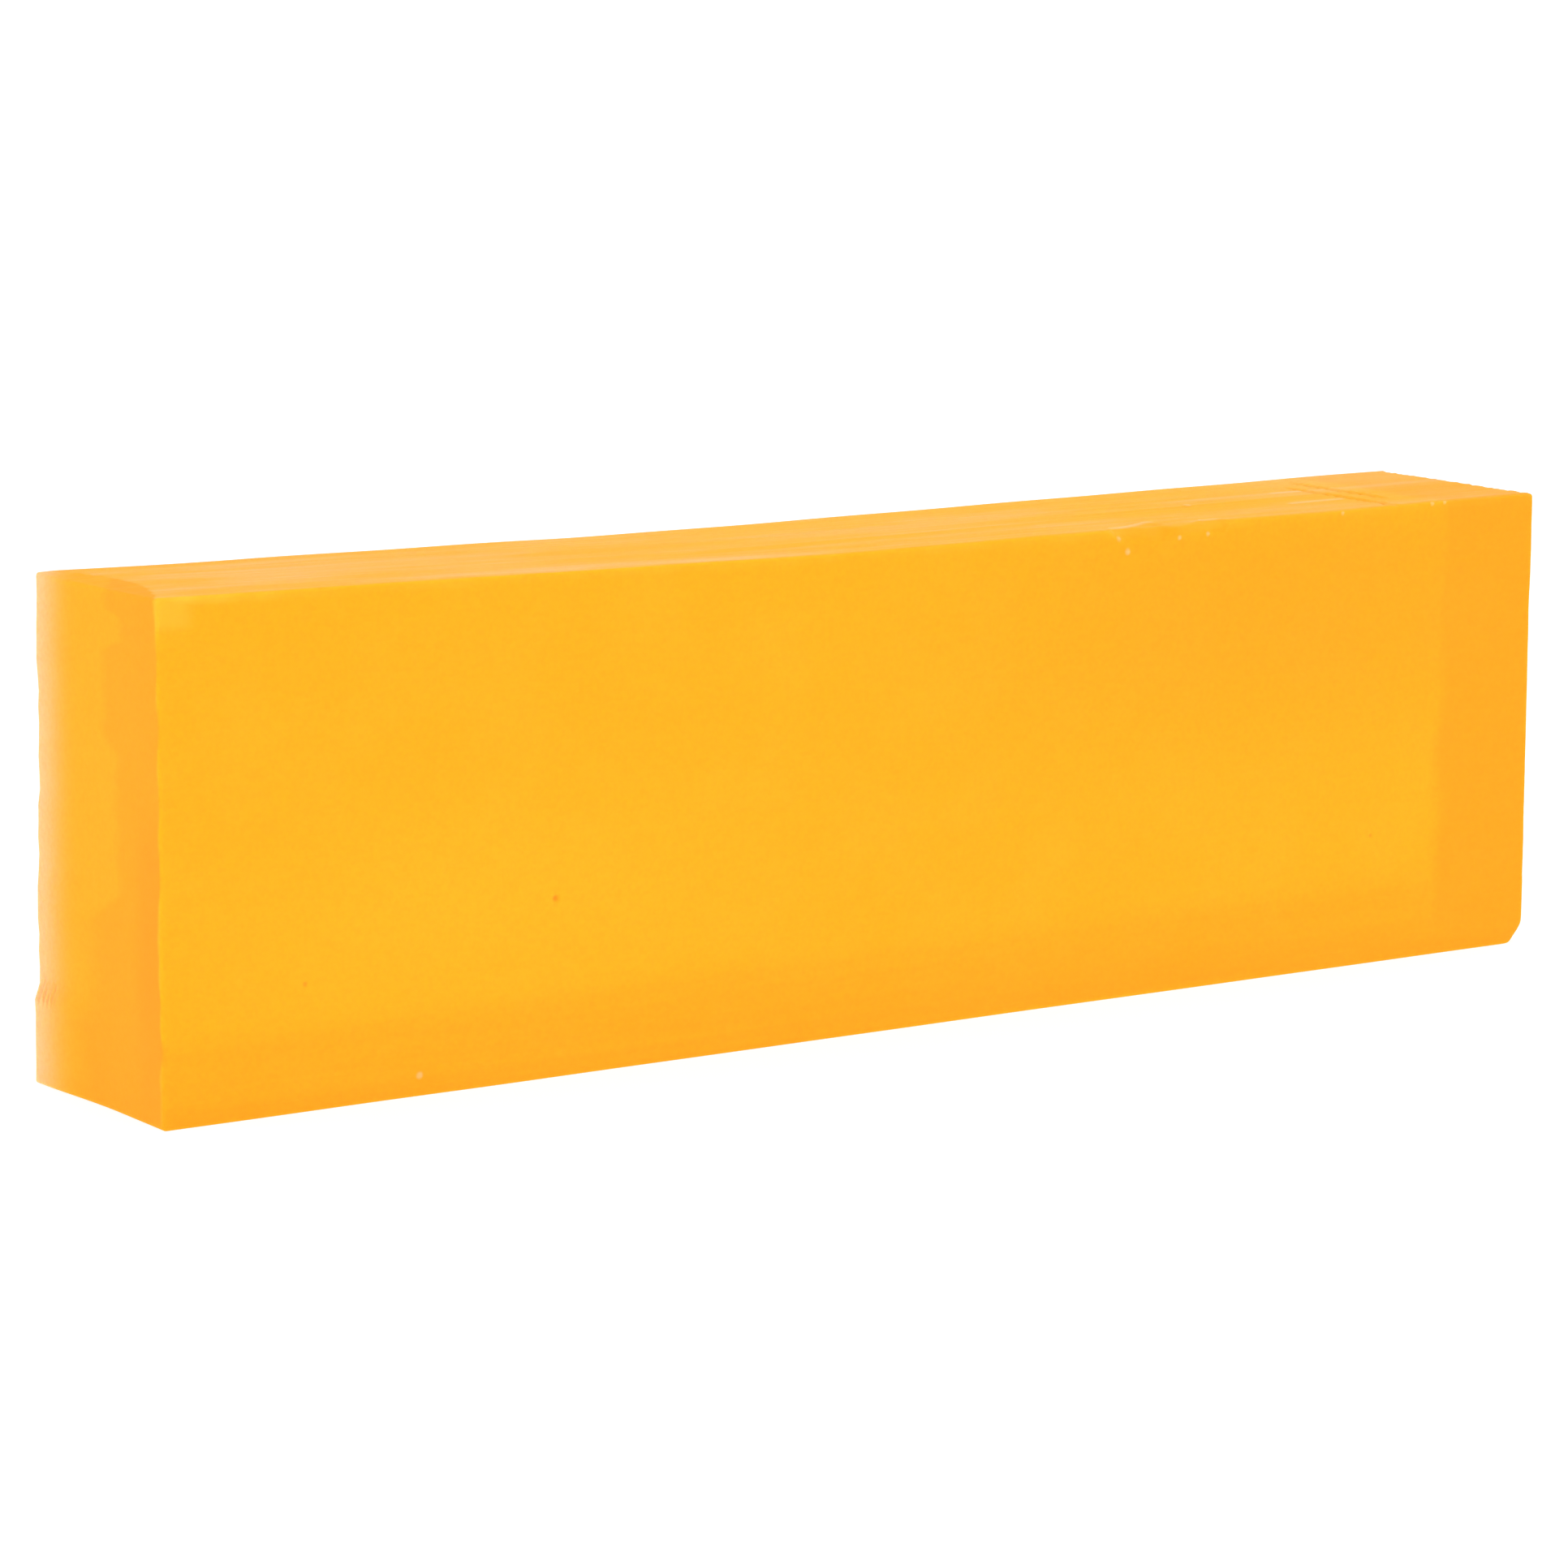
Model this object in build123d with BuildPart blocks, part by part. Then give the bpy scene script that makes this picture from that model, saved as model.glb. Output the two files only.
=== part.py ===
from build123d import *
import os

os.makedirs("parts", exist_ok=True)

# Detailing clay bar: one homogeneous block of soft polymer clay, pushed through a rectangular die
# and cut to length with a knife. Millimetres. The bar stands on one of its long narrow sides.
# Frame: origin at the centre of the base, +X along the bar, -Y out of the front broad face, +Z up.

# ---- the block that leaves the die
BAR_LENGTH = 115.0
BAR_THICKNESS = 17.0
BAR_HEIGHT = 34.0
TOP_SAG = 0.5  # how far the soft top face dips at mid length
BASE_EDGE_RADIUS = 0.25  # the two long edges that the die leaves crisp
TOP_EDGE_RADIUS = 0.5  # the two long edges that handling has softened

# ---- the far end (+X), cut by a knife that ran in a little towards the top
KNIFE_LEAN = 0.25
CHIP_LENGTH = 1.3  # broken lower front corner, measured along each of its three edges
CHIP_DEPTH = 1.6
CHIP_HEIGHT = 1.5

# ---- the near end (-X), whose top edge the knife dragged down towards the back face
ROLL_WIDTH = 4.0
ROLL_DROP = 0.3

# ---- two knife scores straight across the top, near the far end
SCORE_SETBACK = 10.9  # far end to the first score
SCORE_PITCH = 2.3  # first score to the second
SCORE_WIDTH = 0.35
SCORE_DEPTH = 0.25
SCORE_STARTS = (2.2, 4.4)  # how far in from the back face each score begins
SCORE_STOPS = (3.9, 0.9)  # how far short of the front face each score ends

# ---- handling marks on the front face and its top edge
PIT_SETBACK = 29.2  # near end to the pit
PIT_HEIGHT = 12.1
PIT_RADIUS = 0.35
NICK_SETBACK = 38.6  # far end to the nick in the top front edge
NICK_RADIUS = 0.8

half_length = BAR_LENGTH / 2
half_thickness = BAR_THICKNESS / 2
front_y = -half_thickness
back_y = half_thickness


def top_height(x):
    """Height of the sagging top face at x: the dip fades with the square of the distance from the middle."""
    return BAR_HEIGHT - TOP_SAG * (1 - (x / half_length) ** 2)


with BuildPart() as clay_bar:
    # Side view of the bar, with the sagging top, given its thickness both ways from the middle plane.
    with BuildSketch(Plane.XZ):
        with BuildLine():
            base = Line((-half_length, 0), (half_length, 0))
            far_cut = Line(base @ 1, (half_length - KNIFE_LEAN, BAR_HEIGHT))
            near_cut = Line(base @ 0, (-half_length, BAR_HEIGHT))
            ThreePointArc(near_cut @ 1, (0, top_height(0)), far_cut @ 1)
        make_face()
    extrude(amount=half_thickness, both=True)

    # Long edges: the groups hold the edges that run along X, lowest first.
    long_edges = clay_bar.edges().filter_by(lambda e: abs(e.tangent_at(0.5).X) > 0.9)
    level_groups = long_edges.group_by(Axis.Z)
    fillet(level_groups[0], radius=BASE_EDGE_RADIUS)
    long_edges = clay_bar.edges().filter_by(lambda e: abs(e.tangent_at(0.5).X) > 0.9)
    level_groups = long_edges.group_by(Axis.Z)
    fillet(level_groups[-1], radius=TOP_EDGE_RADIUS)

    # Near end: a shallow plane through the front top corner takes off the dragged-down edge.
    front_corner = Vector(-half_length, front_y, BAR_HEIGHT)
    back_on_top = Vector(-half_length + ROLL_WIDTH, back_y, top_height(-half_length + ROLL_WIDTH))
    back_on_end = Vector(-half_length, back_y, BAR_HEIGHT - ROLL_DROP)
    roll_normal = (back_on_end - front_corner).cross(back_on_top - front_corner)
    if roll_normal.Z < 0:
        roll_normal = -roll_normal
    split(bisect_by=Plane(origin=front_corner, z_dir=roll_normal), keep=Keep.BOTTOM)

    # Far end: a plane through three points on the edges of the lower front corner breaks it off.
    chip_on_base = Vector(half_length - CHIP_LENGTH, front_y, 0)
    chip_on_end = Vector(half_length, front_y + CHIP_DEPTH, 0)
    chip_on_edge = Vector(half_length, front_y, CHIP_HEIGHT)
    chip_normal = (chip_on_end - chip_on_base).cross(chip_on_edge - chip_on_base)
    if chip_normal.X < 0:
        chip_normal = -chip_normal
    split(bisect_by=Plane(origin=chip_on_base, z_dir=chip_normal), keep=Keep.BOTTOM)

    # Knife scores: a shallow V pressed into the top, closed at both ends.
    for number, (start, stop) in enumerate(zip(SCORE_STARTS, SCORE_STOPS)):
        score_x = half_length - SCORE_SETBACK - number * SCORE_PITCH
        score_start = (score_x, back_y - start, top_height(score_x))
        score_plane = Plane(origin=score_start, x_dir=(1, 0, 0), z_dir=(0, -1, 0))
        with BuildSketch(score_plane):
            with BuildLine():
                Polyline(
                    (-SCORE_WIDTH, SCORE_DEPTH),
                    (SCORE_WIDTH, SCORE_DEPTH),
                    (0, -SCORE_DEPTH),
                    close=True,
                )
            make_face()
        extrude(amount=BAR_THICKNESS - start - stop, mode=Mode.SUBTRACT)

    # A pit in the front face, and a nick in the top front edge.
    with Locations((-half_length + PIT_SETBACK, front_y, PIT_HEIGHT)):
        Sphere(PIT_RADIUS, mode=Mode.SUBTRACT)
    nick_x = half_length - NICK_SETBACK
    with Locations((nick_x, front_y - NICK_RADIUS / 4, top_height(nick_x) + NICK_RADIUS / 4)):
        Sphere(NICK_RADIUS, mode=Mode.SUBTRACT)

clay_bar.part.label = "clay_bar"
export_step(clay_bar.part, "parts/clay_bar.step")
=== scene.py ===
import math

import bpy
import numpy as np
from mathutils import Matrix, Vector


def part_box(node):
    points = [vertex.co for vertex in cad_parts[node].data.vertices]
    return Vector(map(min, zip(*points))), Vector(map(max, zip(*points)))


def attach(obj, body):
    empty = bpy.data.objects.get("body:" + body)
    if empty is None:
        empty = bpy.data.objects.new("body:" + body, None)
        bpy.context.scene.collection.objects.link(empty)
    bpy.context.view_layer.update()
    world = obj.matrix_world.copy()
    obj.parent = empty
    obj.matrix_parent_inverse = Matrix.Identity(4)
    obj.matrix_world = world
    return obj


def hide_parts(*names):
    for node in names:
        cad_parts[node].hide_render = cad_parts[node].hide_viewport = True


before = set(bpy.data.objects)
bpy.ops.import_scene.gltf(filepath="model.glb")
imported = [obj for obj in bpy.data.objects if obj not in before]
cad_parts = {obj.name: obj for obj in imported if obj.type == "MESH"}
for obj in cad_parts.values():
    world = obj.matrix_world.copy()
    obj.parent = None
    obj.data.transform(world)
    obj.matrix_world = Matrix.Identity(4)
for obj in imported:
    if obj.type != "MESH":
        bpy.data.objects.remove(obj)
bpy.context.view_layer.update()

# ---- The clay bar: its shape ---------------------------------------------------------------------
# One block of soft polymer clay, coloured right through, with nothing inside it. It leaves a
# rectangular die as a long slab, whose walls drag fine lines along it, and a knife cuts it to
# length. It sags a little under its own weight, and fingers and the knife leave the other marks.

MM = 0.001
bar_low, bar_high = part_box("clay_bar")
LENGTH, THICKNESS, HEIGHT = (bar_high - bar_low) / MM
HALF = LENGTH / 2
FRONT = -THICKNESS / 2
BACK = THICKNESS / 2

# The top bends down to a soft crease that crosses the bar slantwise, a little short of the middle.
CREASE_AT = -10.3
CREASE_SLANT = -0.75
CREASE_DROP = 0.53
BEND = 0.0099  # rise for each millimetre away from the crease
CREASE_SOFTNESS = 2.5

KNIFE_LEAN = 0.25  # how far the far cut runs in towards the top
FAR_SPREAD = 0.12  # how far the clay was pushed out along the bar at the far cut
BASE_RADIUS = 0.1
NEAR_CUT_RADIUS = 0.22  # the arris all round each cut end
FAR_CUT_RADIUS = 0.14
BACK_TOP_RADIUS = 0.18

# The top front arris is crisp, but for a short stretch where it is worn and ragged.
FRONT_TOP_RADIUS = 0.16
WORN_FROM, WORN_TO = 17.8, 28.2
WORN_RADIUS = 0.8

# Within that stretch a finger scooped the top's edge down and pushed up a low lip behind the scoop.
SCOOP_AT = 23.2
SCOOP_HALF = 2.6
SCOOP_REACH = 1.5  # how far it comes in over the top
SCOOP_DROP = 0.25
LIP_RISE = 0.12

# The knife dragged the near end's top arris over, most of all a little behind the middle.
ROLL_WIDTH = 2.8
ROLL_DROP = 0.12

# The far end's lower front corner is broken off: its reach along each edge, and the break's soft lip.
CHIP = (1.3, 1.6, 1.5)
CHIP_LIP = 0.12

# Two knife scores across the top: place along the bar, and where each one starts and fades out.
SCORES = ((46.6, 6.3, -4.6), (44.3, 4.1, -8.3))
SCORE_DEPTH = 0.2
SCORE_SPREAD = 0.2

# Two short smears that the knife dragged up to the scores: from and to along the bar, and across it.
SMEARS = ((40.3, 43.9, 1.9), (37.7, 43.6, -3.3))
SMEAR_WIDTH = 0.45
SMEAR_RISE = 0.03

# Pits and crumbs: (place, radius, height out of the surface, the way that it stands or sinks).
MARKS = (
    ((-28.3, FRONT, 12.1), 0.28, -0.25, (0, -1, 0)),
    ((-38.8, FRONT, 1.4), 0.3, 0.06, (0, -1, 0)),
    ((-47.2, FRONT, 8.4), 0.24, -0.08, (0, -1, 0)),
    ((42.4, FRONT, 9.6), 0.2, -0.08, (0, -1, 0)),
    ((31.0, -0.4, HEIGHT), 0.4, 0.12, (0, 0, 1)),
    ((18.4, FRONT, 33.4), 0.3, 0.12, (0, -0.7, 0.7)),
    ((19.1, FRONT, 32.4), 0.28, 0.12, (0, -1, 0)),
    ((23.8, FRONT, 33.3), 0.22, 0.08, (0, -1, 0)),
    ((26.4, FRONT, 33.2), 0.22, 0.08, (0, -1, 0)),
    ((39.1, FRONT, 33.8), 0.2, 0.08, (0, -0.7, 0.7)),
    ((47.6, FRONT, 33.9), 0.22, 0.08, (0, -0.7, 0.7)),
    ((48.8, FRONT, 33.9), 0.18, 0.08, (0, -0.7, 0.7)),
    ((-9.6, -8.3, HEIGHT - 0.4), 0.2, 0.08, (0, -0.7, 0.7)),
)


def waves(x, y, z, lump, seed, count=36):
    """Smooth uneven relief: the sum of cosine waves of random direction and phase, whose typical
    lump is lump = (along x, along y, along z) millimetres, divided down to a spread of about one."""
    rng = np.random.default_rng(seed)
    turn = rng.normal(size=(count, 3)) * math.pi / np.array(lump)
    phase = rng.uniform(0, 2 * math.pi, count)
    total = 0
    for (a, b, c), start in zip(turn, phase):
        total = total + np.cos(a * x + b * y + c * z + start)
    return total / math.sqrt(count / 2)


def step(value, low, high):
    """0 below low, 1 above high, and a smooth S between."""
    t = np.clip((value - low) / (high - low), 0, 1)
    return t * t * (3 - 2 * t)


def stations(start, stop, coarse, close_ups):
    """Places from start to stop: coarse apart, and nearer together about each close-up
    (centre, reach, spacing). The density of places is summed along the way and read back evenly."""
    way = np.linspace(start, stop, 6000)
    density = np.full(way.shape, 1 / coarse)
    for centre, reach, spacing in close_ups:
        density = np.maximum(density, np.exp(-(((way - centre) / reach) ** 4)) / spacing)
    total = np.append(0, np.cumsum((density[1:] + density[:-1]) / 2 * np.diff(way)))
    return np.interp(np.linspace(0, total[-1], round(total[-1]) + 1), total, way)


def section(inset, corner_radii, runs, arc_points=8):
    """The bar's cross-section at each ring, as y and z with a row for each ring: a rectangle drawn in
    by inset, with four quarter circles of the given radii joined by straight runs. It goes up the
    front, back over the top, down the back and forward under the base."""
    quarter = np.linspace(0, 1, arc_points)
    sides = ((-1, -1), (-1, 1), (1, 1), (1, -1))
    arcs = []
    for number, ((side, level), radius) in enumerate(zip(sides, corner_radii)):
        angle = np.radians(270 - 90 * number - 90 * quarter)
        centre_y = side * (THICKNESS / 2 - inset - radius)
        centre_z = HEIGHT / 2 + level * (HEIGHT / 2 - inset - radius)
        arcs.append((centre_y + radius * np.cos(angle), centre_z + radius * np.sin(angle)))
    ys, zs = [], []
    for number, run in enumerate(runs):
        (arc_y, arc_z), (next_y, next_z) = arcs[number], arcs[(number + 1) % 4]
        ys += [arc_y, arc_y[:, -1:] * (1 - run) + next_y[:, :1] * run]
        zs += [arc_z, arc_z[:, -1:] * (1 - run) + next_z[:, :1] * run]
    return np.concatenate(ys, 1), np.concatenate(zs, 1)


def inner_shares(places):
    """The places between the first and the last, as shares of the way from one to the other."""
    return ((places - places[0]) / (places[-1] - places[0]))[1:-1]


# Rings: out over the near cut, round its arris, along the bar, and in over the far cut. Those on
# the cuts lie closest together by the arris.
CAP_RINGS = 28
ARRIS_RINGS = 5
cap_share = 1 - np.linspace(1, 0, CAP_RINGS)[1:-1] ** 1.4
arris_turn = np.radians(np.linspace(0, 90, ARRIS_RINGS))
close_ups = [(-HALF, 3.5, 0.22), ((WORN_FROM + WORN_TO) / 2, 6, 0.26), (HALF, 2.5, 0.25)]
close_ups += [(score[0], 0.9, 0.08) for score in SCORES]
close_ups += [(mark[0][0], 2 * mark[1], 0.14) for mark in MARKS]
along = stations(-HALF + NEAR_CUT_RADIUS, HALF - FAR_CUT_RADIUS, 0.8, close_ups)
out, drawn_in = 1 - np.cos(arris_turn[:-1]), 1 - np.sin(arris_turn[:-1])
ring_x = np.concatenate(
    [
        0 * cap_share - HALF,
        NEAR_CUT_RADIUS * out - HALF,
        along,
        HALF - FAR_CUT_RADIUS * out[::-1],
        0 * cap_share + HALF,
    ]
)
ring_inset = np.concatenate(
    [
        0 * cap_share + NEAR_CUT_RADIUS,
        NEAR_CUT_RADIUS * drawn_in,
        0 * along,
        FAR_CUT_RADIUS * drawn_in[::-1],
        0 * cap_share + FAR_CUT_RADIUS,
    ]
)
ring_share = np.concatenate([cap_share, np.ones(along.size + 2 * out.size), cap_share[::-1]])
x, inset, share = (a[:, None] for a in (ring_x, ring_inset, ring_share))

# Points round each ring: up the front, back over the top, down the back and forward under the base.
side_low, side_high = BASE_RADIUS, HEIGHT - FRONT_TOP_RADIUS
front_close_ups = [(0, 1, 0.3), (side_high, 2.2, 0.2)]
front_close_ups += [(mark[0][2], 2 * mark[1], 0.15) for mark in MARKS if mark[0][2] < HEIGHT / 2]
front_run = inner_shares(stations(side_low, side_high, 0.65, front_close_ups))
top_run = inner_shares(stations(FRONT, BACK, 0.36, []))
back_run = inner_shares(stations(side_low, side_high, 1.1, []))
base_run = inner_shares(stations(FRONT, BACK, 1.3, []))

# The top front arris is rounder and ragged where it is worn.
worn = step(x, WORN_FROM - 0.5, WORN_FROM + 0.4) * (1 - step(x, WORN_TO - 0.4, WORN_TO + 0.4))
ragged = waves(x, 0, 0, (2.2, 1, 1), seed=11)
front_top_radius = FRONT_TOP_RADIUS + worn * (WORN_RADIUS + 0.3 * ragged)
front_top_radius = front_top_radius + 0.04 * waves(x, 0, 0, (3.5, 1, 1), seed=12)
front_top_radius = np.maximum(front_top_radius, 0.1)
y, z = section(
    inset,
    (BASE_RADIUS + 0 * x, front_top_radius, BACK_TOP_RADIUS + 0 * x, BASE_RADIUS + 0 * x),
    (front_run, top_run, back_run, base_run),
)
middle = HEIGHT / 2
y = y * share
z = middle + (z - middle) * share
x = x + 0 * y

# How much each point belongs to the top, the front, the back, and the two cut ends.
on_top = step(z, HEIGHT - 0.7, HEIGHT - 0.1)
on_front = step(-y, -FRONT - 0.7, -FRONT - 0.1)
on_back = step(y, BACK - 0.7, BACK - 0.1)
on_front_side = step(-y, -FRONT - 2, -FRONT - 1)
near_cut = step(-x, HALF - 0.5, HALF - 0.02)
far_cut = step(x, HALF - 0.5, HALF - 0.02)
height_share = z / HEIGHT

# The bent top, the lean of the knife, and the dragged-down arris at the near end. From here on, the
# flat places are those before any of this.
flat_x, flat_y, flat_z = x, y, z
from_crease = flat_x - CREASE_AT - CREASE_SLANT * flat_y
bend_rise = BEND * (np.sqrt(from_crease**2 + CREASE_SOFTNESS**2) - CREASE_SOFTNESS / 2) - CREASE_DROP
z = z + bend_rise * height_share**2
x = x - KNIFE_LEAN * height_share * step(x, 0, HALF) + FAR_SPREAD * step(x, 0.9 * HALF, HALF)
roll_width = ROLL_WIDTH * np.sin(2.65 * (flat_y - FRONT) / THICKNESS)
roll_width = roll_width + 0.08 * waves(0, flat_y, 0, (1, 1.6, 1), seed=13)
roll = np.clip(1 - (flat_x + HALF) / np.maximum(roll_width, 0.05), 0, 1)
z = z - ROLL_DROP * roll * roll_width / ROLL_WIDTH * height_share**12

# The die's drag lines run along the bar and are strongest on the top. Broad unevenness crosses them.
TOP_DRAG, TOP_UNEVEN = 0.022, 0.015
SIDE_DRAG, SIDE_UNEVEN = 0.006, 0.03
drag = waves(flat_x, flat_y, flat_z, (60, 0.55, 0.55), seed=21)
broad = waves(flat_x, flat_y, flat_z, (16, 9, 9), seed=22)
z = z + on_top * (TOP_DRAG * drag + TOP_UNEVEN * broad)
y = y + (on_back - on_front) * (SIDE_DRAG * drag + SIDE_UNEVEN * broad)

# The knife's chatter on the cuts, and the shelves that it left down the near cut's back edge:
# (height, how far the clay steps out below it, over what height).
SHELVES = ((18.6, 0.12, 3.0), (14.3, 0.18, 0.5), (10.9, -0.13, 0.4), (9.4, 0.05, 1.0), (6.4, 0.40, 0.7))
NEAR_CHATTER, FAR_CHATTER = 0.035, 0.02
leaving = step(flat_y, -2, BACK)
chatter = waves(0, flat_y, flat_z, (1, 30, 2.4), seed=31)
chatter = chatter + 0.5 * waves(0, flat_y, flat_z, (1, 12, 0.9), seed=32)
x = x + (FAR_CHATTER * far_cut - NEAR_CHATTER * near_cut) * (0.3 + 0.7 * leaving) * chatter
for shelf, step_out, over in SHELVES:
    x = x - near_cut * leaving * step_out * step(shelf - flat_z, -over / 2, over / 2)

# The broken corner: whatever stands past a slanted plane is drawn back to it, with a soft lip.
chip_normal = np.array([1 / CHIP[0], -1 / CHIP[1], -1 / CHIP[2]])
chip_size = np.linalg.norm(chip_normal)
past = ((flat_x - HALF) / CHIP[0] - (flat_y - FRONT) / CHIP[1] - flat_z / CHIP[2] + 1) / chip_size
past = CHIP_LIP * np.log1p(np.exp(np.clip(past / CHIP_LIP, -30, 30)))
x, y, z = (a - past * n / chip_size for a, n in zip((x, y, z), chip_normal))

# Knife scores: a narrow groove with a low burr along one lip. crumb counts how far each point is
# dug in (below zero), which the finish paints with shade, or crumbled out (above zero), which it paints
# pale.
crumb = 0 * x
for score_at, start, stop in SCORES:
    reach = on_top * step(flat_y, stop - 0.6, stop + 1.6) * (1 - step(flat_y, start - 0.6, start + 0.6))
    across = (flat_x - score_at - 0.05 * waves(0, flat_y, 0, (1, 9, 1), seed=41)) / SCORE_SPREAD
    groove, burr = np.exp(-(across**2)), np.exp(-((across - 2.1) ** 2))
    z = z + SCORE_DEPTH * reach * (0.3 * burr - groove)
    crumb = crumb + reach * (0.3 * burr - 1.2 * groove)

# The smears stand a little proud.
for start, stop, across_at in SMEARS:
    reach = on_top * step(flat_x, start - 0.5, start + 1) * (1 - step(flat_x, stop - 0.3, stop + 0.2))
    smear = reach * np.exp(-(((flat_y - across_at) / SMEAR_WIDTH) ** 2))
    z = z + SMEAR_RISE * smear
    crumb = crumb + 0.8 * smear

# The scoop, and the pale lip behind it. The top's skin ends there, and elsewhere where the front top
# arris turns down.
scoop = np.exp(-(((flat_x - SCOOP_AT) / SCOOP_HALF) ** 4))
inward = np.clip(1 - (flat_y - FRONT) / SCOOP_REACH, 0, 1)
z = z - SCOOP_DROP * scoop * inward * step(flat_z, HEIGHT - 3, HEIGHT)
past_arris = flat_y - FRONT - 0.6 * front_top_radius - scoop * (SCOOP_REACH - 0.5 + 0.15 * ragged)
top_skin = step(flat_z, HEIGHT - 0.15, HEIGHT - 0.03) * step(past_arris, -0.04, 0.12)
lip = worn * on_top * np.exp(-(((past_arris - 0.3) / 0.28) ** 2)) * step(ragged, -1.2, 0.4)
z = z + LIP_RISE * lip
crumb = crumb + lip
# arris_shine marks where the painted highlight runs along the front top arris.
arris_shine = step(flat_z, HEIGHT - 0.7, HEIGHT - 0.25) * (1 - step(past_arris, -0.04, 0.1)) * on_front_side
arris_shine = arris_shine * (0.75 + 0.25 * waves(x, 0, 0, (3, 1, 1), seed=15))

# Pits and crumbs are smooth round bumps, out of the surface or into it.
for (mark_x, mark_y, mark_z), radius, height, (way_x, way_y, way_z) in MARKS:
    away = ((flat_x - mark_x) ** 2 + (flat_y - mark_y) ** 2 + (flat_z - mark_z) ** 2) / radius**2
    bump = np.exp(-away)
    x, y, z = x + height * way_x * bump, y + height * way_y * bump, z + height * way_z * bump
    crumb = crumb + (bump if height > 0 else -bump)

# The base stays flat where the bar stands on it.
z = np.maximum(z, 0)


def close_grid(rings, around):
    """The faces of a closed skin over rings of points, numbered ring by ring after one pole point and
    before another: four-sided between rings, and a fan of triangles at each pole."""
    ring = np.arange(rings - 1)[:, None] * around
    here = np.arange(around)[None, :]
    after = (here + 1) % around
    corners = [ring + here, ring + around + here, ring + around + after, ring + after]
    quads = np.stack(corners, -1).reshape(-1, 4) + 1
    first = np.stack([0 * here, here + 1, after + 1], -1).reshape(-1, 3)
    last_ring = 1 + (rings - 1) * around
    last = np.stack([0 * here + last_ring + around, last_ring + after, last_ring + here], -1).reshape(-1, 3)
    return first.tolist() + quads.tolist() + last.tolist()


def with_poles(values):
    """The ring values in one column, between the means of the first and the last ring."""
    return np.concatenate([[values[0].mean()], values.ravel(), [values[-1].mean()]])


points = np.stack([with_poles(a) for a in (x, y, z)], -1) * MM
bar_mesh = bpy.data.meshes.new("clay_bar_skin")
bar_mesh.from_pydata(points.tolist(), [], close_grid(*x.shape))
bar_mesh.polygons.foreach_set("use_smooth", np.ones(len(bar_mesh.polygons), bool))

# The cut's skin runs on over the rolled arris, and stops short of the front arris, further at the top.
bared = 0.12 + 0.1 * waves(0, 0, flat_z, (1, 1, 2.2), seed=14)
bared = bared + 0.45 * step(flat_z, HEIGHT - 2, HEIGHT - 0.6)
cut_skin = np.maximum(near_cut, step(roll_width - (flat_x + HALF), -0.1, 0.1) * on_top)
cut_skin = cut_skin * step(flat_y - FRONT, bared, bared + 0.25)
skins = {"crumb": crumb, "cut_skin": cut_skin, "top_skin": top_skin, "arris_shine": arris_shine}
for name, values in skins.items():
    attribute = bar_mesh.attributes.new(name, "FLOAT", "POINT")
    attribute.data.foreach_set("value", with_poles(values).astype(np.float32))
bar = bpy.data.objects.new("clay_bar_body", bar_mesh)
bpy.context.scene.collection.objects.link(bar)


# ---- The clay bar: its finish --------------------------------------------------------------------
# Polybutene and fine mineral powder, dyed orange-yellow. It is waxy and lets light in a little way.
# Its colour also carries painted light and shade: paler where lit through or catching a sheen, deeper where
# light is lost.

clay = bpy.data.materials.new("waxy_orange_clay")
clay.use_nodes = True
tree = clay.node_tree
shader = tree.nodes["Principled BSDF"]
own_place = tree.nodes.new("ShaderNodeTexCoord")


def link(source, target):
    """Joins one socket of the clay's nodes to another."""
    tree.links.new(source, target)


def noise(scale_xyz, detail, roughness=0.55, offset=(0, 0, 0)):
    """Noise on the bar's own coordinates, with its grain stretched by scale_xyz (waves per metre)."""
    mapping = tree.nodes.new("ShaderNodeMapping")
    mapping.inputs["Scale"].default_value = scale_xyz
    mapping.inputs["Location"].default_value = offset
    link(own_place.outputs["Object"], mapping.inputs["Vector"])
    pattern = tree.nodes.new("ShaderNodeTexNoise")
    pattern.inputs["Scale"].default_value = 1
    pattern.inputs["Detail"].default_value = detail
    pattern.inputs["Roughness"].default_value = roughness
    link(mapping.outputs["Vector"], pattern.inputs["Vector"])
    return pattern.outputs["Fac"]


def math_node(kind, a, b=None, c=None):
    """One Math node; each of a, b and c is a socket or a number."""
    node = tree.nodes.new("ShaderNodeMath")
    node.operation = kind
    for socket, value in zip(node.inputs, (a, b, c)):
        if isinstance(value, bpy.types.NodeSocket):
            link(value, socket)
        elif value is not None:
            socket.default_value = value
    return node.outputs["Value"]


def ramp(value, low, high, to_low=0.0, to_high=1.0):
    """A smooth step of value from low to high, given out as to_low to to_high. Low may be the
    greater of the two, and the step then goes the other way."""
    node = tree.nodes.new("ShaderNodeMapRange")
    node.interpolation_type = "SMOOTHSTEP"
    for name, number in (("From Min", low), ("From Max", high), ("To Min", to_low), ("To Max", to_high)):
        node.inputs[name].default_value = number
    link(value, node.inputs["Value"])
    return node.outputs["Result"]


def tint(factor, under, over):
    """under turned towards over by factor; each colour is a socket or linear red, green, blue."""
    node = tree.nodes.new("ShaderNodeMix")
    node.data_type = "RGBA"
    link(factor, node.inputs["Factor"])
    for socket, value in ((node.inputs[6], under), (node.inputs[7], over)):
        if isinstance(value, bpy.types.NodeSocket):
            link(value, socket)
        else:
            socket.default_value = (*value, 1)
    return node.outputs[2]


def blend(factor, under, over):
    """The number under turned towards the number over by factor."""
    node = tree.nodes.new("ShaderNodeMix")
    for socket, value in ((node.inputs[0], factor), (node.inputs[2], under), (node.inputs[3], over)):
        if isinstance(value, bpy.types.NodeSocket):
            link(value, socket)
        else:
            socket.default_value = value
    return node.outputs[0]


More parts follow.
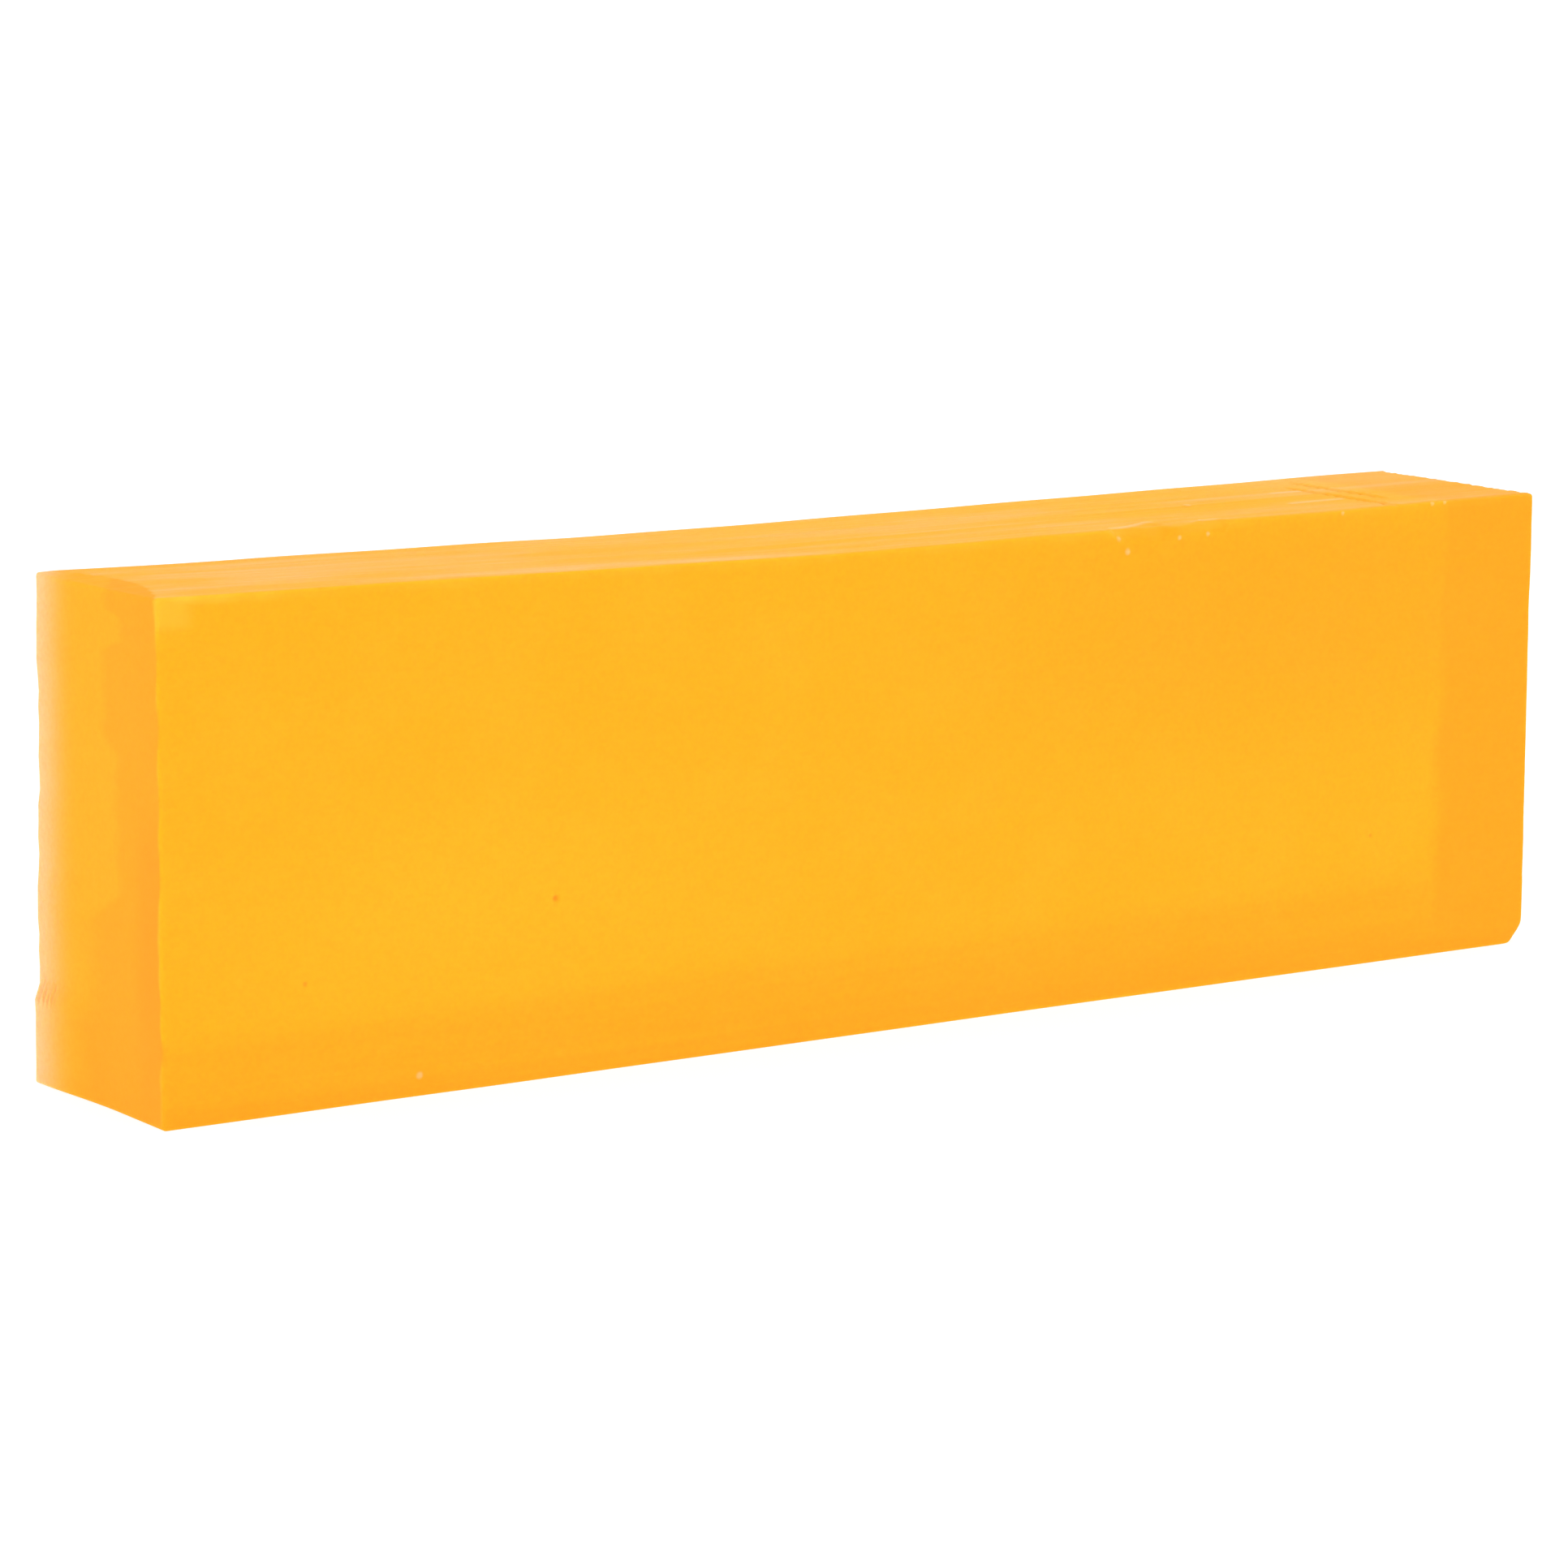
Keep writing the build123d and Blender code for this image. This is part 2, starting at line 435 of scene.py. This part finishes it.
def attribute_value(name):
    """What the mesh stores under name at each point."""
    node = tree.nodes.new("ShaderNodeAttribute")
    node.attribute_name = name
    return node.outputs["Fac"]


axes = tree.nodes.new("ShaderNodeSeparateXYZ")
link(own_place.outputs["Object"], axes.inputs["Vector"])
along_x, across_y, up_z = (axes.outputs[k] for k in "XYZ")

mottle = noise((140, 140, 140), 4)
grain = noise((3000, 3000, 3000), 2)
streak = noise((16, 700, 700), 5, 0.6)
slow_streak = noise((9, 260, 260), 3)

YELLOW = (0.985, 0.432, 0.0145)
MOTTLED_YELLOW = (0.985, 0.440, 0.0165)
LIT_YELLOW = (0.985, 0.460, 0.018)
HIGHLIGHT_YELLOW = (0.985, 0.52, 0.045)
DEEP_ORANGE = (0.985, 0.300, 0.0145)
PIT_SHADE = (0.90, 0.28, 0.02)
PALE_CRUMB_AND_SHEEN = (0.99, 0.66, 0.40)  # pale crumbs, and the painted sheen and glow where the clay is lit through or catches the light

# The share by which each zone turns towards the deep orange (depth, painted shade in the far and base
# bands) or the pale colour (painted sheen and glow, and pale crumbs).
UPPER_FAR_SHADE = 0.32
FAR_BAND_SHADE = 0.47
CUT_DEPTH = 0.33
GRAIN_DEPTH = 0.16
RIM_SHEEN = 0.62
ROUND_BACK_GLOW = 0.45
DRAG_SHEEN = (0.20, 0.11)  # on most of the top, and at the far end
CRUMB_PALENESS = 0.35

colour = tint(ramp(mottle, 0.40, 0.68), YELLOW, MOTTLED_YELLOW)

# Painted light, brighter low on the near half of the front, and painted shade, deeper high on the far half.
lit = math_node("MULTIPLY", ramp(along_x, -0.060, -0.036), ramp(along_x, 0.004, -0.036))
from_lit_height = math_node("ABSOLUTE", math_node("SUBTRACT", up_z, 0.0125))
lit = math_node("MULTIPLY", lit, ramp(from_lit_height, 0.011, 0.0))
colour = tint(lit, colour, LIT_YELLOW)
upper_far_shade = math_node("MULTIPLY", ramp(along_x, -0.012, 0.034), ramp(up_z, 0.012, 0.026))
upper_far_shade = math_node("MULTIPLY", upper_far_shade, ramp(up_z, 0.0345, 0.031, 0.45, 1.0))
upper_far_shade = math_node("MULTIPLY", upper_far_shade, ramp(mottle, 0.3, 0.65, 0.85, 1.05))

# Painted shade where light is lost: down the base, in two steps that wander a little, and at the far end.
wander = math_node("MULTIPLY", math_node("SUBTRACT", slow_streak, 0.5), 0.0035)
base_height = math_node("ADD", math_node("ADD", up_z, wander), math_node("MULTIPLY", along_x, -0.018))
base_shade = ramp(base_height, 0.0074, 0.0044, 0.0, 0.27)
base_shade = math_node("ADD", base_shade, ramp(base_height, 0.0036, -0.001, 0.0, 0.23))
base_shade = math_node("MULTIPLY", base_shade, ramp(streak, 0.3, 0.6, 0.75, 1.15))
far_edge = math_node("ADD", along_x, math_node("MULTIPLY", math_node("SUBTRACT", mottle, 0.5), 0.003))
far_shade = math_node("MULTIPLY", ramp(far_edge, 0.0474, 0.0496), FAR_BAND_SHADE)
painted_shade = math_node("MAXIMUM", math_node("MULTIPLY", upper_far_shade, UPPER_FAR_SHADE), far_shade)
painted_shade = math_node("MAXIMUM", painted_shade, base_shade)

# The near cut is deeper all over, with painted shade deepest beside the front arris, and a painted
# highlight where the back arris is lit through. Its skin runs on over the rolled arris, so the zones slant
# back there. The painted shade strip widens in steps on the way down, where the knife left shelves: (step's
# top, its foot, how far the strip's edge moves).
cut = attribute_value("cut_skin")
from_near = math_node("MAXIMUM", math_node("ADD", along_x, HALF * MM), 0.0)
cut_y = math_node("MULTIPLY_ADD", from_near, -1.6, across_y)
edge_wave = math_node("MULTIPLY_ADD", noise((1, 60, 260), 4), 0.005, -0.0025)
strip_edge = math_node("ADD", edge_wave, cut_y)
STRIP_STEPS = (
    (0.0326, 0.0322, 0.0019),
    (0.0308, 0.0300, -0.0019),
    (0.0250, 0.0230, 0.0014),
    (0.0148, 0.0122, -0.0034),
    (0.0066, 0.0046, -0.0015),
)
for high, low, shift in STRIP_STEPS:
    strip_edge = math_node("ADD", strip_edge, ramp(up_z, high, low, 0.0, shift))

# The painted shade strip's edge is crisp higher up and soft below. It is deepest low down by the arris
# itself.
bare_skin = attribute_value("top_skin")
crisp_shade_strip = ramp(strip_edge, -0.0003, -0.0020)
soft_shade_strip = ramp(strip_edge, 0.0012, -0.0034)
shade_strip = blend(ramp(up_z, 0.014, 0.0115), crisp_shade_strip, soft_shade_strip)
shade_strip = math_node("MULTIPLY", shade_strip, ramp(up_z, 0.018, 0.008, 0.27, 0.31))
# A patch of painted shade on the cut by the front arris, mostly below mid-height.
corner_shade_patch = ramp(edge_wave, -0.001, 0.001, 0.8, 1.0)
corner_shade_patch = math_node("MULTIPLY", corner_shade_patch, ramp(cut_y, -0.0040, -0.0068))
corner_shade_patch = math_node("MULTIPLY", corner_shade_patch, ramp(up_z, 0.022, 0.016, 0.05, 0.28))
corner_shade_patch = math_node("MULTIPLY", corner_shade_patch, ramp(up_z, 0.0002, 0.0095, 0.35, 1.0))
cut_depth_and_shade = math_node("ADD", math_node("ADD", shade_strip, CUT_DEPTH), corner_shade_patch)
cut_depth_and_shade = math_node("ADD", cut_depth_and_shade, math_node("MULTIPLY", base_shade, 0.15))
cut_depth_and_shade = math_node("MULTIPLY_ADD", bare_skin, 0.05, cut_depth_and_shade)
colour = tint(blend(cut, painted_shade, cut_depth_and_shade), colour, DEEP_ORANGE)

# Painted reflection and glow: the pale rim by the back arris runs on round it, over the first few
# millimetres of the back face.
rim_sheen = math_node("POWER", ramp(cut_y, 0.0005, 0.0090), 3.0)
rim_sheen = math_node("MULTIPLY_ADD", rim_sheen, RIM_SHEEN, 0.015)
colour = tint(math_node("MULTIPLY", rim_sheen, cut), colour, PALE_CRUMB_AND_SHEEN)
round_back_glow = math_node("MULTIPLY", ramp(along_x, -0.0545, -0.0574), ramp(across_y, 0.0070, 0.0084))
round_back_glow = math_node("MULTIPLY", math_node("POWER", round_back_glow, 2.0), math_node("SUBTRACT", 1.0, cut))
colour = tint(math_node("MULTIPLY", round_back_glow, ROUND_BACK_GLOW), colour, PALE_CRUMB_AND_SHEEN)

# The top is dragged, with patchy lengthwise streaks that carry a painted sheen. It is deeper towards the
# near end.
bare_top = math_node("MULTIPLY", bare_skin, math_node("SUBTRACT", 1.0, cut))
colour = tint(math_node("MULTIPLY", bare_top, ramp(along_x, -0.050, 0.035, 0.30, 0.0)), colour, DEEP_ORANGE)
patchy = ramp(noise((60, 260, 260), 4), 0.36, 0.62, 0.25, 1.0)
broad_drag = ramp(noise((13, 260, 260), 3, 0.6, (3, 0, 0)), 0.40, 0.62)
fine_drag = ramp(noise((22, 900, 900), 4, 0.65), 0.42, 0.62)
dragged = math_node("MULTIPLY_ADD", broad_drag, 0.65, math_node("MULTIPLY", fine_drag, 0.35))
dragged = math_node("MULTIPLY", dragged, patchy)

# One broad drag mark with a painted sheen slants across the near half of the top.
sheen_drag_mark = math_node("ADD", across_y, math_node("MULTIPLY_ADD", along_x, 0.12, 0.008))
sheen_drag_mark = ramp(math_node("ABSOLUTE", sheen_drag_mark), 0.0045, 0.0006, 0.0, 0.08)
sheen_drag_mark = math_node("MULTIPLY", sheen_drag_mark, ramp(along_x, 0.016, -0.006))
sheen_drag_mark = math_node("MULTIPLY", sheen_drag_mark, patchy)

# The top's painted sheen is strongest by the back arris, most of all at the far end, and faint by the front
# one.
top_sheen = math_node("ADD", ramp(across_y, 0.002, 0.0085, 0.04, 0.10), sheen_drag_mark)
top_sheen = math_node("MULTIPLY_ADD", dragged, ramp(along_x, 0.024, 0.038, *DRAG_SHEEN), top_sheen)
far_sheen = ramp(along_x, 0.034, 0.048)
far_sheen = math_node("MULTIPLY", far_sheen, ramp(across_y, -0.003, 0.005, 0.0, 0.09))
top_sheen = math_node("ADD", top_sheen, far_sheen)
top_sheen = math_node("MULTIPLY", top_sheen, ramp(across_y, -0.0084, -0.0077, 0.1, 1.0))
colour = tint(math_node("MULTIPLY", top_sheen, bare_top), colour, PALE_CRUMB_AND_SHEEN)
colour = tint(ramp(grain, 0.35, 0.7, 0.0, GRAIN_DEPTH), colour, DEEP_ORANGE)

# A painted highlight along the front arris, lighter yellow, most of all at the near end and where it is
# worn.
highlight_share = ramp(along_x, -0.047, -0.053, 0.2, 1.0)
highlight_share = math_node("MAXIMUM", highlight_share, ramp(along_x, 0.016, 0.019, 0.0, 0.5))
highlight_share = math_node("MULTIPLY", highlight_share, ramp(along_x, 0.030, 0.027, 0.3, 1.0))
arris_highlight = math_node("MULTIPLY", attribute_value("arris_shine"), highlight_share)
arris_highlight = math_node("MULTIPLY", arris_highlight, ramp(mottle, 0.38, 0.6, 0.6, 1.0))
# A painted highlight patch at the top of the near front corner.
near_highlight_patch = math_node("MULTIPLY", ramp(up_z, 0.0316, 0.0325), ramp(along_x, -0.0546, -0.0560))
near_highlight_patch = math_node("MULTIPLY", near_highlight_patch, ramp(across_y, -0.0078, -0.0084, 0.0, 0.5))
arris_highlight = math_node("MULTIPLY", math_node("MAXIMUM", arris_highlight, near_highlight_patch), math_node("SUBTRACT", 1.0, cut))
colour = tint(arris_highlight, colour, HIGHLIGHT_YELLOW)

# Crumbs are pale. Pits and score grooves are darkened with painted shade.
crumb_value = attribute_value("crumb")
colour = tint(ramp(crumb_value, 0.25, 0.9, 0.0, CRUMB_PALENESS), colour, PALE_CRUMB_AND_SHEEN)
colour = tint(ramp(crumb_value, -0.3, -0.95, 0.0, 0.6), colour, PIT_SHADE)
link(colour, shader.inputs["Base Color"])

# Light goes in a millimetre or so, red the furthest. The skin is nearly dull, and dullest where dry.
shader.inputs["Subsurface Weight"].default_value = 0.6
shader.inputs["Subsurface Scale"].default_value = 0.0013
shader.inputs["Subsurface Radius"].default_value = (1.0, 0.45, 0.15)
shader.inputs["IOR"].default_value = 1.45
shader.inputs["Specular IOR Level"].default_value = 0.04
polish = math_node("MULTIPLY_ADD", streak, 0.3, 0.35)
polish = blend(bare_top, polish, math_node("MULTIPLY_ADD", dragged, -0.4, 0.95))
link(blend(cut, polish, 0.8), shader.inputs["Roughness"])

# Fine drag lines and a waxy, slightly grainy skin.
grain_height = math_node("ADD", math_node("MULTIPLY", noise((900, 900, 900), 5, 0.6), 0.35), streak)
bump = tree.nodes.new("ShaderNodeBump")
bump.inputs["Strength"].default_value = 0.35
bump.inputs["Distance"].default_value = 0.0002
link(grain_height, bump.inputs["Height"])
link(bump.outputs["Normal"], shader.inputs["Normal"])

bar_mesh.materials.append(clay)
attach(bar, "root")
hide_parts("clay_bar")


# ---- The table ------------------------------------------------------------------------------------
# A plain white sheet that the bar stands on, lit softly from below as a product table is, and wide
# enough to run out of sight all round.

TABLE_HALF = 3.0
GLOW = 0.78
table_mesh = bpy.data.meshes.new("table_sheet")
sides = ((-1, -1), (1, -1), (1, 1), (-1, 1))
table_corners = [(side_x * TABLE_HALF, side_y * TABLE_HALF, 0) for side_x, side_y in sides]
table_mesh.from_pydata(table_corners, [], [(0, 1, 2, 3)])
table = bpy.data.objects.new("table", table_mesh)
bpy.context.scene.collection.objects.link(table)
opal = bpy.data.materials.new("lit_opal_sheet")
opal.use_nodes = True
opal_shader = opal.node_tree.nodes["Principled BSDF"]
opal_shader.inputs["Base Color"].default_value = (0.35, 0.35, 0.35, 1)
opal_shader.inputs["Roughness"].default_value = 0.9
opal_shader.inputs["Specular IOR Level"].default_value = 0.1
opal_shader.inputs["Emission Color"].default_value = (1, 1, 1, 1)
opal_shader.inputs["Emission Strength"].default_value = GLOW
table_mesh.materials.append(opal)


# ---- The light ------------------------------------------------------------------------------------
# A white room whose walls are brighter than its ceiling, with a large soft box in front of the bar
# and a weak one behind it to the left.

WALL_LIGHT = 1.3
CEILING_LIGHT = 0.86
room = bpy.data.worlds.new("white_room")
room.use_nodes = True
room_nodes, room_links = room.node_tree.nodes, room.node_tree.links
way_up = room_nodes.new("ShaderNodeSeparateXYZ")
room_links.new(room_nodes.new("ShaderNodeTexCoord").outputs["Generated"], way_up.inputs["Vector"])
ceiling = room_nodes.new("ShaderNodeMapRange")
fade = {"From Min": 0.1, "From Max": 1.0, "To Min": WALL_LIGHT, "To Max": CEILING_LIGHT}
for name, number in fade.items():
    ceiling.inputs[name].default_value = number
room_links.new(way_up.outputs["Z"], ceiling.inputs["Value"])
room_links.new(ceiling.outputs["Result"], room_nodes["Background"].inputs["Strength"])
room_nodes["Background"].inputs["Color"].default_value = (1, 1, 1, 1)
bpy.context.scene.world = room


def soft_box(name, place, aim, size, power):
    """A square area light at place, turned to face aim."""
    lamp = bpy.data.lights.new(name, "AREA")
    lamp.shape = "SQUARE"
    lamp.size = size
    lamp.energy = power
    holder = bpy.data.objects.new(name, lamp)
    turn = (Vector(aim) - Vector(place)).to_track_quat("-Z", "Y").to_matrix().to_4x4()
    holder.matrix_world = Matrix.Translation(place) @ turn
    bpy.context.scene.collection.objects.link(holder)


middle_of_bar = (0, 0, HEIGHT / 2 * MM)
soft_box("back_left_box", (-0.55, 0.5, 0.45), middle_of_bar, size=0.5, power=0.08)
soft_box("front_box", (-0.3, -0.9, 0.5), middle_of_bar, size=0.7, power=0.6)


# ---- The camera -----------------------------------------------------------------------------------
# A long lens, standing off the near front corner a little above the bar and looking slightly down.
# Its place is counted in bar heights from the near lower front corner.

CAMERA_FROM_CORNER = Vector((-4.34, -8.36, 2.24))
CAMERA_TURN = math.radians(34.44)
CAMERA_DIP = math.radians(9.56)
CAMERA_ROLL = math.radians(0.43)
LENS = 118.4
FILM_WIDTH = 36

camera_data = bpy.data.cameras.new("camera")
camera_data.sensor_width = FILM_WIDTH
camera_data.lens = LENS
camera_data.clip_start = 0.02
camera = bpy.data.objects.new("camera", camera_data)
stand = bar_low + CAMERA_FROM_CORNER * HEIGHT * MM
look = (
    Matrix.Rotation(-CAMERA_TURN, 4, "Z")
    @ Matrix.Rotation(math.pi / 2 - CAMERA_DIP, 4, "X")
    @ Matrix.Rotation(CAMERA_ROLL, 4, "Z")
)
camera.matrix_world = Matrix.Translation(stand) @ look
bpy.context.scene.collection.objects.link(camera)
bpy.context.scene.camera = camera
bpy.context.scene.view_settings.view_transform = "Standard"
